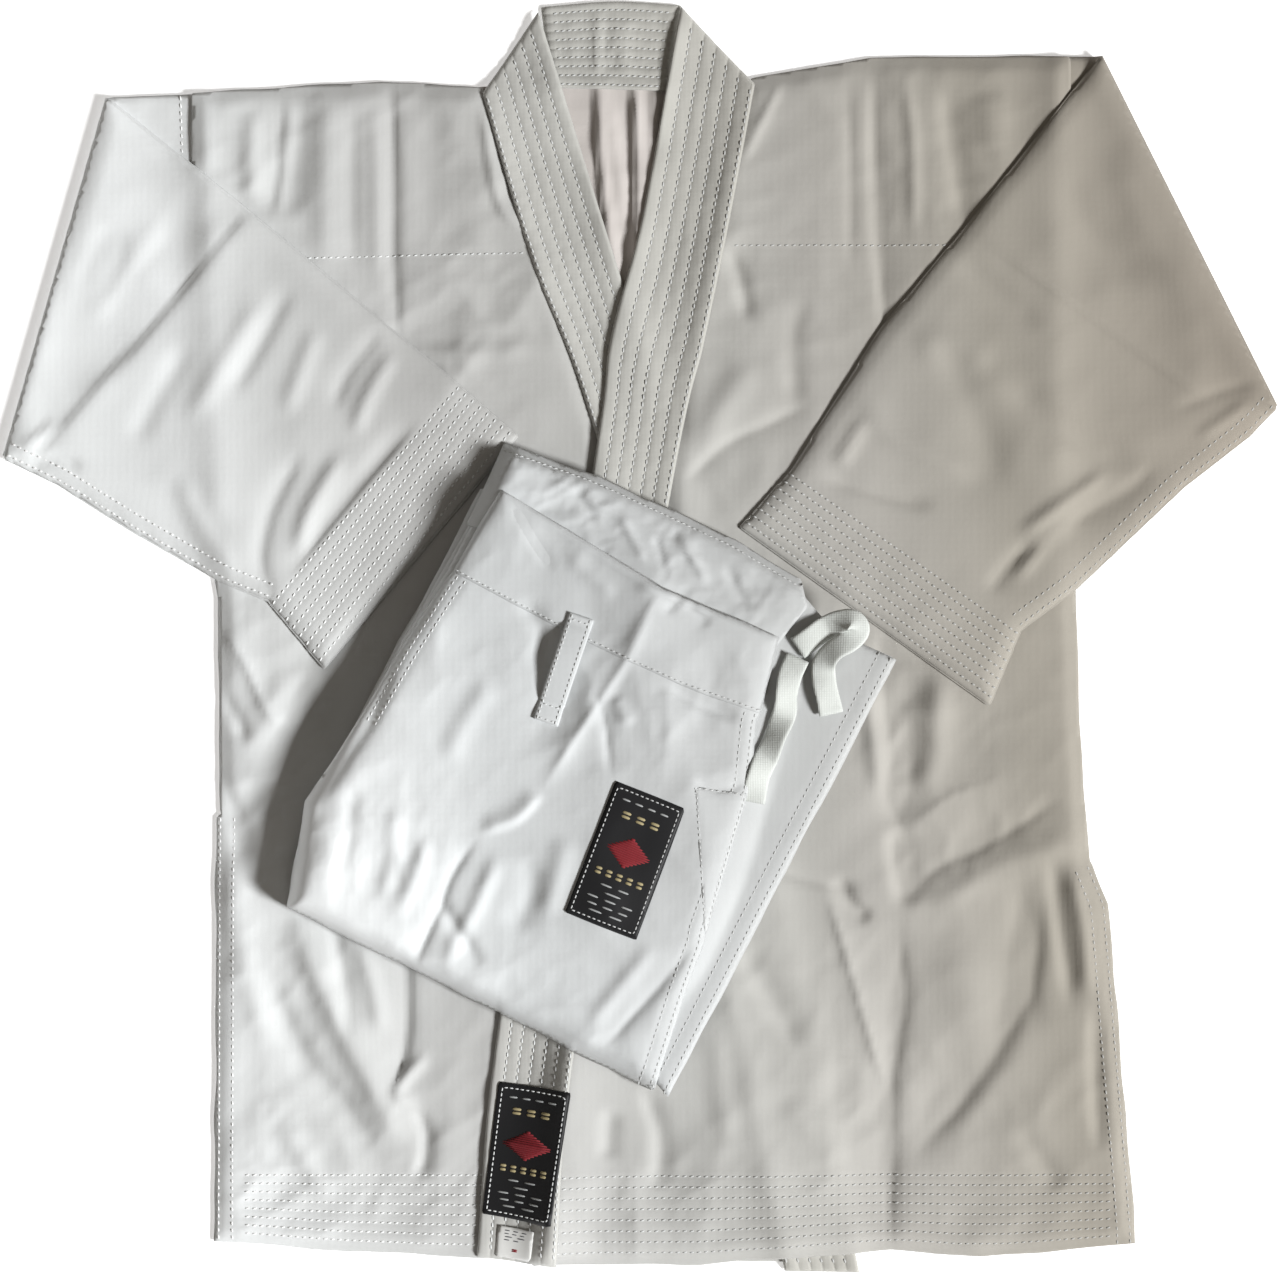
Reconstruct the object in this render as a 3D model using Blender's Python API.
"""A karate uniform laid flat for storage: a cotton jacket on its back with both sleeves
folded in over the front, and its trousers folded into a bundle on top.

The jacket's front faces +Z and its collar points to +Y. Left and right are the wearer's,
so the wearer's right side lies at -X. Outlines are in millimetres, read from above.
"""

import bmesh
import bpy
from mathutils import Vector

MM = 0.001

# Cloth. A ply is one layer of canvas with its loft, and PLY_GAP is the air between two.
JACKET_PLY = 1.5
TROUSER_PLY = 1.2
PLY_GAP = 0.4
BUTT_GAP = 0.5
LABEL_THICK = 0.6
TAPE_THICK = 0.8
TAPE_ROOM = TAPE_THICK + PLY_GAP

# The neckband is a folded cover round a stiff core.
BAND_WALL = 0.8
BAND_GAP = 0.35
BAND_CORE = 0.7
BAND_THICK = 2 * BAND_WALL + 2 * BAND_GAP + BAND_CORE

# Heights of the layers, counted up from the surface that the jacket lies on.
JACKET_STEP = JACKET_PLY + PLY_GAP
Z_BACK = 0.0
Z_LINING = Z_BACK + JACKET_STEP
Z_UNDER_FRONT = Z_LINING + JACKET_STEP
Z_UNDER_BAND = Z_UNDER_FRONT + JACKET_STEP
Z_OVER_FRONT = Z_UNDER_BAND + BAND_THICK + PLY_GAP
Z_OVER_BAND = Z_OVER_FRONT + JACKET_STEP
Z_BUNDLE = Z_OVER_BAND + BAND_THICK + PLY_GAP
BUNDLE_STEP = TROUSER_PLY + PLY_GAP
Z_BUNDLE_TOP = Z_BUNDLE + 11 * BUNDLE_STEP + TROUSER_PLY

# Sleeves. The fold line of each runs from the shoulder tip to the underarm corner, and
# its height is half that of the folded sleeve, so the sleeve opens flat on the surface.
RIGHT_TIP = (-287, 291)
RIGHT_CORNER = (-344, 96)
LEFT_TIP = (248, 313)
LEFT_CORNER = (344, 123)
Z_RIGHT_SLEEVE = Z_UNDER_FRONT + JACKET_STEP
Z_LEFT_SLEEVE = Z_OVER_FRONT + JACKET_STEP
FOLD_CLEAR = 1.0
# How far the fold lines stand above the middle of the folded cloth, because it lies loosely.
FOLD_LOFT = 1.0

# The belt loop on the trousers: a stitched strip, bowed up so that a belt passes under.
LOOP_TOP = (-31, 11)
LOOP_FOOT = (-58, -45)
LOOP_WIDTH = 14.5
LOOP_RISE = 5.2

# Ends of the waist tape, as centre lines that rise and fall with the cloth beneath them.
TAPE_WIDTH = 13.0
UPPER_TAPE_ROUTE = [
    (84, -6, 30.6), (91, -1, 30.8), (98, 4, 31.2), (106, 8, 31.9), (113, 9, 33.2),
    (116, 4, 34.6), (111, -2, 35.2), (103, -7, 34.6), (98, -14, 33.4), (98, -23, 32.0),
    (100, -32, 31.2), (102, -41, 30.9),
]
LOWER_TAPE_ROUTE = [
    (84, -11, 32.0), (80, -20, 32.6), (78, -30, 32.8), (77, -40, 33.2),
    (73, -50, 33.7), (69, -60, 33.9), (65, -69, 33.9), (62, -78, 33.9), (60, -88, 33.9),
]

COTTON = (0.80, 0.80, 0.79, 1.0)
BAND_WHITE = (0.83, 0.83, 0.81, 1.0)
BUNDLE_WHITE = (0.82, 0.82, 0.82, 1.0)
TAPE_WHITE = (0.84, 0.84, 0.82, 1.0)
SATIN_BLACK = (0.02, 0.02, 0.025, 1.0)
CARE_WHITE = (0.86, 0.86, 0.86, 1.0)


def clear_scene():
    for old in list(bpy.data.objects):
        bpy.data.objects.remove(old, do_unlink=True)


def material_for(name, colour, roughness):
    material = bpy.data.materials.new(name)
    material.use_nodes = True
    shader = material.node_tree.nodes["Principled BSDF"]
    shader.inputs["Base Color"].default_value = colour
    shader.inputs["Roughness"].default_value = roughness
    shader.inputs["Metallic"].default_value = 0.0
    return material


def place(name, bm, colour, roughness=0.9, hinge=None):
    """Turns a mesh drawn in millimetres into the named object, hung on its joint's empty."""
    bmesh.ops.recalc_face_normals(bm, faces=bm.faces)
    bmesh.ops.scale(bm, vec=(MM, MM, MM), verts=bm.verts)
    mesh = bpy.data.meshes.new(name)
    bm.to_mesh(mesh)
    bm.free()
    mesh.materials.append(material_for(name, colour, roughness))
    piece = bpy.data.objects.new(name, mesh)
    bpy.context.scene.collection.objects.link(piece)
    if hinge is not None:
        piece.parent = hinge
        piece.location = -hinge.location
    return piece


def joint_empty(name, x, y, z):
    empty = bpy.data.objects.new(name, None)
    empty.location = Vector((x, y, z)) * MM
    bpy.context.scene.collection.objects.link(empty)
    return empty


def ply(name, outline, z, colour, thick=JACKET_PLY, hinge=None, roughness=0.9):
    """One flat layer of cloth: the outline, raised from z by its thickness."""
    bm = bmesh.new()
    corners = [bm.verts.new((x, y, z)) for x, y in outline]
    face = bm.faces.new(corners)
    raised = bmesh.ops.extrude_face_region(bm, geom=[face])["geom"]
    lifted = [item for item in raised if isinstance(item, bmesh.types.BMVert)]
    bmesh.ops.translate(bm, vec=(0, 0, thick), verts=lifted)
    return place(name, bm, colour, roughness, hinge)


def loft(name, rings, colour, hinge=None):
    """Joins equal rings of points, one after another, and closes both ends."""
    bm = bmesh.new()
    rows = [[bm.verts.new(point) for point in ring] for ring in rings]
    for low, high in zip(rows, rows[1:]):
        for i in range(len(low)):
            j = (i + 1) % len(low)
            bm.faces.new((low[i], low[j], high[j], high[i]))
    bm.faces.new(rows[0])
    bm.faces.new(rows[-1])
    return place(name, bm, colour, 0.9, hinge)


def across(stations, share):
    """Points at a share of the way from each station's free edge to its seam edge."""
    return [tuple(Vector(free).lerp(Vector(seam), share)) for free, seam in stations]


def band_cover(name, stations, z):
    """A band folded at its free edge and open at its seam edge, where cloth goes in."""
    fold = 0.06
    wall = BAND_WALL
    profile = [
        (0, 0), (1, 0), (1, wall), (fold, wall),
        (fold, BAND_THICK - wall), (1, BAND_THICK - wall), (1, BAND_THICK), (0, BAND_THICK),
    ]
    rings = []
    for free, seam in stations:
        ring = []
        for share, height in profile:
            x, y = Vector(free).lerp(Vector(seam), share)
            ring.append((x, y, z + height))
        rings.append(ring)
    return loft(name, rings, BAND_WHITE)


def band_core(name, stations, z):
    """The stiff strip inside the cover, clear of its walls."""
    outline = across(stations, 0.10) + across(stations, 0.96)[::-1]
    return ply(name, outline, z + BAND_WALL + BAND_GAP, BAND_WHITE, BAND_CORE)


def ribbon(name, route, width, thick, colour, hinge=None):
    """A flat strip along a route, with its width level and square to the route."""
    rings = []
    for i, point in enumerate(route):
        before = Vector(route[max(i - 1, 0)])
        after = Vector(route[min(i + 1, len(route) - 1)])
        along = (after - before).normalized()
        side = Vector((-along.y, along.x, 0)).normalized() * width / 2
        centre = Vector(point)
        lift = Vector((0, 0, thick))
        rings.append([centre - side, centre + side, centre + side + lift, centre - side + lift])
    return loft(name, rings, colour, hinge)


# ---- Jacket body -------------------------------------------------------------------

HEM_LINE = -288
NECK_CENTRE = (-13, 292)
HEM_CENTRE = (19, -288)


def back_panels():
    """Two back halves, joined down the middle, and one hem facing across both."""
    ply("back_panel_right", [
        (-242, 293), (-140, 299), (-85, 297), (-40, 292), NECK_CENTRE,
        HEM_CENTRE, (-228, HEM_LINE), (-226, -60), (-227, 20), (-235, 70),
    ], Z_BACK, COTTON)
    ply("back_panel_left", [
        (NECK_CENTRE[0] + BUTT_GAP, 292), (8, 290), (62, 301), (124, 312), (232, 313),
        (232, 93), (235, 9), (237, -47), (242, -121), (252, -144), (264, HEM_LINE),
        (HEM_CENTRE[0] + BUTT_GAP, HEM_LINE),
    ], Z_BACK, COTTON)
    ply("back_hem_facing", [
        (-228, HEM_LINE - BUTT_GAP), (264, HEM_LINE - BUTT_GAP), (267, -327), (184, -334),
        (135, -330), (19, -335), (-89, -334), (-157, -331), (-229, -325),
    ], Z_BACK, COTTON)


def shoulder_reinforcements():
    """A second ply inside each shoulder, stitched across the chest along its lower edge."""
    ply("right_shoulder_reinforcement", [
        (-240, 290), (-140, 297), (-87, 295), (-62, 204), (-237, 204),
    ], Z_LINING, COTTON)
    ply("left_shoulder_reinforcement", [
        (231, 312), (124, 310), (64, 300), (50, 211), (231, 211),
    ], Z_LINING, COTTON)


def right_front():
    """The wearer's right front, which lies under the left one."""
    ply("right_front_panel", [
        (-242, 293), (-140, 299), (-85, 296), (-50, 205), (-19, 100),
        (-8, HEM_LINE), (-217.5, HEM_LINE), (-217.5, -96), (-226, -95), (-227, 20), (-235, 70),
    ], Z_UNDER_FRONT, COTTON)
    ply("right_front_overlap", [
        (-18, 97), (-12, 97), (42, -120), (80, HEM_LINE), (-8 + BUTT_GAP, HEM_LINE),
    ], Z_UNDER_FRONT, COTTON)
    ply("right_front_hem_facing", [
        (-217.5, HEM_LINE - BUTT_GAP), (80, HEM_LINE - BUTT_GAP), (89, -337),
        (19, -335), (-89, -334), (-157, -331), (-217.5, -326),
    ], Z_UNDER_FRONT, COTTON)
    ply("right_vent_facing", [
        (-228, -97), (-218, -97), (-218, -326), (-229, -325),
    ], Z_UNDER_FRONT, COTTON)
    ply("right_vent_gusset", [(-225, -40), (-226, -92), (-214, -92)], Z_LINING, COTTON)


def left_front():
    """The wearer's left front, which closes over the right one."""
    ply("left_front_panel", [
        (60, 301), (124, 312), (232, 313), (232, 93), (235, 9), (237, -47), (242, -121),
        (243, -122), (255, HEM_LINE), (42, HEM_LINE), (15, 73), (25, 160), (45, 257),
    ], Z_OVER_FRONT, COTTON)
    ply("left_front_overlap", [
        (42 - BUTT_GAP, HEM_LINE), (14.5, 70), (5, 70), (-44, -228), (-52, HEM_LINE),
    ], Z_OVER_FRONT, COTTON)
    ply("left_front_hem_facing", [
        (-53, HEM_LINE - BUTT_GAP), (255, HEM_LINE - BUTT_GAP), (257, -328), (184, -334),
        (135, -330), (32, -338), (-58, -338),
    ], Z_OVER_FRONT, COTTON)
    ply("left_vent_facing", [
        (243.6, -122), (252, -144), (264, HEM_LINE), (267, -327), (257.6, -328),
        (255.5, HEM_LINE),
    ], Z_OVER_FRONT, COTTON)
    ply("left_vent_gusset", [(235, -35), (225, -82), (238, -82)], Z_LINING, COTTON)


RIGHT_LAPEL = [
    ((-53, 340), (-85, 293)), ((-22, 240), (-59, 205)), ((18, 106), (-23, 106)),
    ((73, -120), (32, -120)), ((121, -343), (78, -342)),
]
LEFT_LAPEL = [
    ((22, 340), (62, 298)), ((1, 226), (49, 228)), ((-16, 160), (35, 160)),
    ((-25, 93), (18, 85)), ((-76, -207), (-34, -214)), ((-88, -334), (-45, -339)),
]
NAPE = [
    ((-52, 340), (-39, 296)), ((-14, 343), (-16, 295)), ((21, 341), (6, 294)),
]


def neckband():
    """One band goes up the right front, round the nape and down the left front."""
    band_cover("neckband_right_cover", RIGHT_LAPEL, Z_UNDER_BAND)
    band_core("neckband_right_core", RIGHT_LAPEL, Z_UNDER_BAND)
    band_cover("neckband_back_cover", NAPE, Z_BACK)
    band_core("neckband_back_core", NAPE, Z_BACK)
    band_cover("neckband_left_cover", LEFT_LAPEL, Z_OVER_BAND)
    band_core("neckband_left_core", LEFT_LAPEL, Z_OVER_BAND)


LABEL_Z = Z_OVER_BAND + BAND_THICK + PLY_GAP
CARE_EDGE = [(-76, -316), (-57, -319)]


def jacket_labels():
    """The woven label on the left lapel's end, and the care label sewn in below it."""
    ply("jacket_label", [(-76, -239), (-37, -244), (-48, -316), (-85, -310)],
        LABEL_Z, SATIN_BLACK, LABEL_THICK, roughness=0.45)
    edge = joint_empty("care_label_edge", *CARE_EDGE[0], LABEL_Z)
    ply("care_label", CARE_EDGE + [(-59, -336), (-78, -333)],
        LABEL_Z, CARE_WHITE, LABEL_THICK, edge)


# ---- Sleeves ------------------------------------------------------------------------

def sleeve(side, upper, lower, cuff, tip, z_folded):
    """The part that stays by the shoulder, and the part folded in over the front."""
    for face, z in (("back", Z_BACK), ("front", Z_LINING)):
        ply(f"{side}_upper_sleeve_{face}", upper, z, COTTON)
    z_axis = (z_folded + JACKET_STEP + JACKET_PLY) / 2 + FOLD_LOFT
    fold = joint_empty(f"{side}_sleeve_fold", *tip, z_axis)
    for face, z in (("front", z_folded), ("back", z_folded + JACKET_STEP)):
        ply(f"{side}_lower_sleeve_{face}", lower, z, COTTON, hinge=fold)
        ply(f"{side}_cuff_{face}", cuff, z, COTTON, hinge=fold)


def sleeves():
    inset = FOLD_CLEAR
    sleeve(
        "right",
        upper=[
            (RIGHT_TIP[0] + inset, 291), (-243, 293), (-236, 70), (RIGHT_CORNER[0] + inset, 96),
        ],
        lower=[
            (RIGHT_TIP[0] + inset, 291), (-213, 231), (-99, 137), (-200, 19.5), (-226, 30),
            (-275, 58), (-313, 82), (RIGHT_CORNER[0] + inset, 96),
        ],
        cuff=[(-98.6, 136.5), (-66, 108), (-170, -17), (-199.6, 19)],
        tip=RIGHT_TIP,
        z_folded=Z_RIGHT_SLEEVE,
    )
    sleeve(
        "left",
        upper=[
            (LEFT_TIP[0] - inset, 313), (233, 313), (233, 93), (LEFT_CORNER[0] - inset, 123),
        ],
        lower=[
            (LEFT_TIP[0] - inset, 313), (176, 221), (130, 166), (82, 90), (205, 4), (235, 26),
            (293, 81), (329, 109), (LEFT_CORNER[0] - inset, 123),
        ],
        cuff=[(81.6, 89.5), (54, 59), (188, -37), (204.6, 3.4)],
        tip=LEFT_TIP,
        z_folded=Z_LEFT_SLEEVE,
    )


# ---- Trousers ---------------------------------------------------------------------

WAIST_FRONT = [(-82, 83), (-43, 60), (12, 26), (74, 0)]
CASING_LINE = [(64, -41), (22, -26), (-9, -12), (-46, 6), (-106, 38)]
SIDE_FOLD = [(-190, -145), (-179, -88), (-151, -42), (-130, -2)]
LOWER_FOLD = (7, -243)
HEM_CUT_HIGH = [(24, -186), (-174, -88)]
HEM_CUT_LOW = [(17, -212), (-184, -113)]


def level(number):
    """Height of a layer of the bundle, where 1 is the lowest and 12 the top one."""
    return Z_BUNDLE + (number - 1) * BUNDLE_STEP


def thigh_plies(lift):
    """The four uppermost layers of the legs, from the waist down to the lower fold."""
    rise = [(62, -44), (58, -82), (28, -78), (34, -162), (24, -190)]
    ply("right_thigh_front", [
        (-108, 36), (-47, 4), (-10, -14), (21, -28), *rise, LOWER_FOLD, *SIDE_FOLD,
    ], level(12), BUNDLE_WHITE, TROUSER_PLY, lift)
    ply("right_thigh_back", [
        (-98, 59), (-43, 40), (30, 6), (65, -16), (62, -60), (50, -110), (24, -190),
        LOWER_FOLD, *SIDE_FOLD,
    ], level(11), BUNDLE_WHITE, TROUSER_PLY, lift)
    for name, number, inset in (("left_thigh_front", 10, 0), ("left_thigh_back", 9, 2)):
        ply(name, [
            (-74, 100 - inset), (-20, 80 - inset), (50, 47 - inset), (84, 26 - inset),
            (106, 2), (137 - inset, -12), (70 - inset, -140), (15 - inset, -246),
            LOWER_FOLD, *SIDE_FOLD, (-107, 36),
        ], level(number), BUNDLE_WHITE, TROUSER_PLY, lift)


def knee_plies(lift):
    """The next four layers, turned under at the lower fold."""
    outline = [
        (-84, 80), (-20, 56), (68, 14), (92, -20), (58, -130), LOWER_FOLD,
        (-186, -144), (-176, -88), (-149, -42), (-128, -2), (-106, 38),
    ]
    names = ("left_knee_back", "left_knee_front", "right_knee_back", "right_knee_front")
    for number, name in zip((8, 7, 6, 5), names):
        ply(name, outline, level(number), BUNDLE_WHITE, TROUSER_PLY, lift)


def shin_plies(lift):
    """The lowest four layers, turned back again, and the two hems that end them."""
    outline = [
        (-84, 78), (-20, 52), (64, 12), (84, -20), (52, -130), *HEM_CUT_HIGH,
        (-152, -42), (-130, -2), (-108, 34),
    ]
    names = ("right_shin_front", "right_shin_back", "left_shin_front", "left_shin_back")
    for number, name in zip((4, 3, 2, 1), names):
        ply(name, outline, level(number), BUNDLE_WHITE, TROUSER_PLY, lift)
    hem = [(23, -188), (16, -214), (-184, -115), (-175, -90)]
    for name, number in (("right_leg_hem_facing", 3), ("left_leg_hem_facing", 1)):
        ply(name, hem, level(number), BUNDLE_WHITE, BUNDLE_STEP + TROUSER_PLY, lift)


def waist(lift):
    """Front and back waist casings, with the tape running inside the front one."""
    ply("waist_casing_front", WAIST_FRONT + CASING_LINE,
        level(12) + TAPE_ROOM, BUNDLE_WHITE, TROUSER_PLY, lift)
    ply("waist_casing_back", [
        (-76, 106), (-22, 86), (51, 52), (86, 31), (89, 16), (66, -14), (30, 8), (-43, 42),
        (-96, 61),
    ], level(11), BUNDLE_WHITE, TROUSER_PLY, lift)
    ply("waist_tape", [
        (-88, 66), (-50, 43), (5, 9), (67, -17), (62, -29), (-1, -3), (-56, 31), (-93, 54),
    ], level(12), TAPE_WHITE, TAPE_THICK, lift)


def crotch_gusset(lift):
    ply("crotch_gusset", [(28.7, -79), (57.5, -83), (42, -136), (34.6, -160)],
        level(12), BUNDLE_WHITE, TROUSER_PLY, lift)


def belt_loop(lift):
    """One foot on the casing, one on the leg, and a level stretch between that clears both."""
    floor = Z_BUNDLE_TOP + PLY_GAP
    on_casing = floor + TAPE_ROOM
    level_stretch = floor + LOOP_RISE
    stops = [
        (0, on_casing), (0.12, on_casing), (0.28, level_stretch), (0.5, level_stretch),
        (0.74, level_stretch), (0.9, floor), (1, floor),
    ]
    route = []
    for share, height in stops:
        x, y = Vector(LOOP_TOP).lerp(Vector(LOOP_FOOT), share)
        route.append((x, y, height))
    ribbon("belt_loop", route, LOOP_WIDTH, TROUSER_PLY, BUNDLE_WHITE, lift)


def trousers():
    lift = joint_empty("trousers_lift", 0, 0, Z_BUNDLE)
    shin_plies(lift)
    knee_plies(lift)
    thigh_plies(lift)
    waist(lift)
    crotch_gusset(lift)
    belt_loop(lift)
    ply("trousers_label", [(-13, -76), (24, -91), (-2, -161), (-40, -146)],
        Z_BUNDLE_TOP + PLY_GAP, SATIN_BLACK, LABEL_THICK, lift, roughness=0.45)
    ribbon("upper_waist_tie", UPPER_TAPE_ROUTE, TAPE_WIDTH, TAPE_THICK, TAPE_WHITE, lift)
    ribbon("lower_waist_tie", LOWER_TAPE_ROUTE, TAPE_WIDTH, TAPE_THICK, TAPE_WHITE, lift)


clear_scene()
back_panels()
shoulder_reinforcements()
right_front()
left_front()
neckband()
jacket_labels()
sleeves()
trousers()
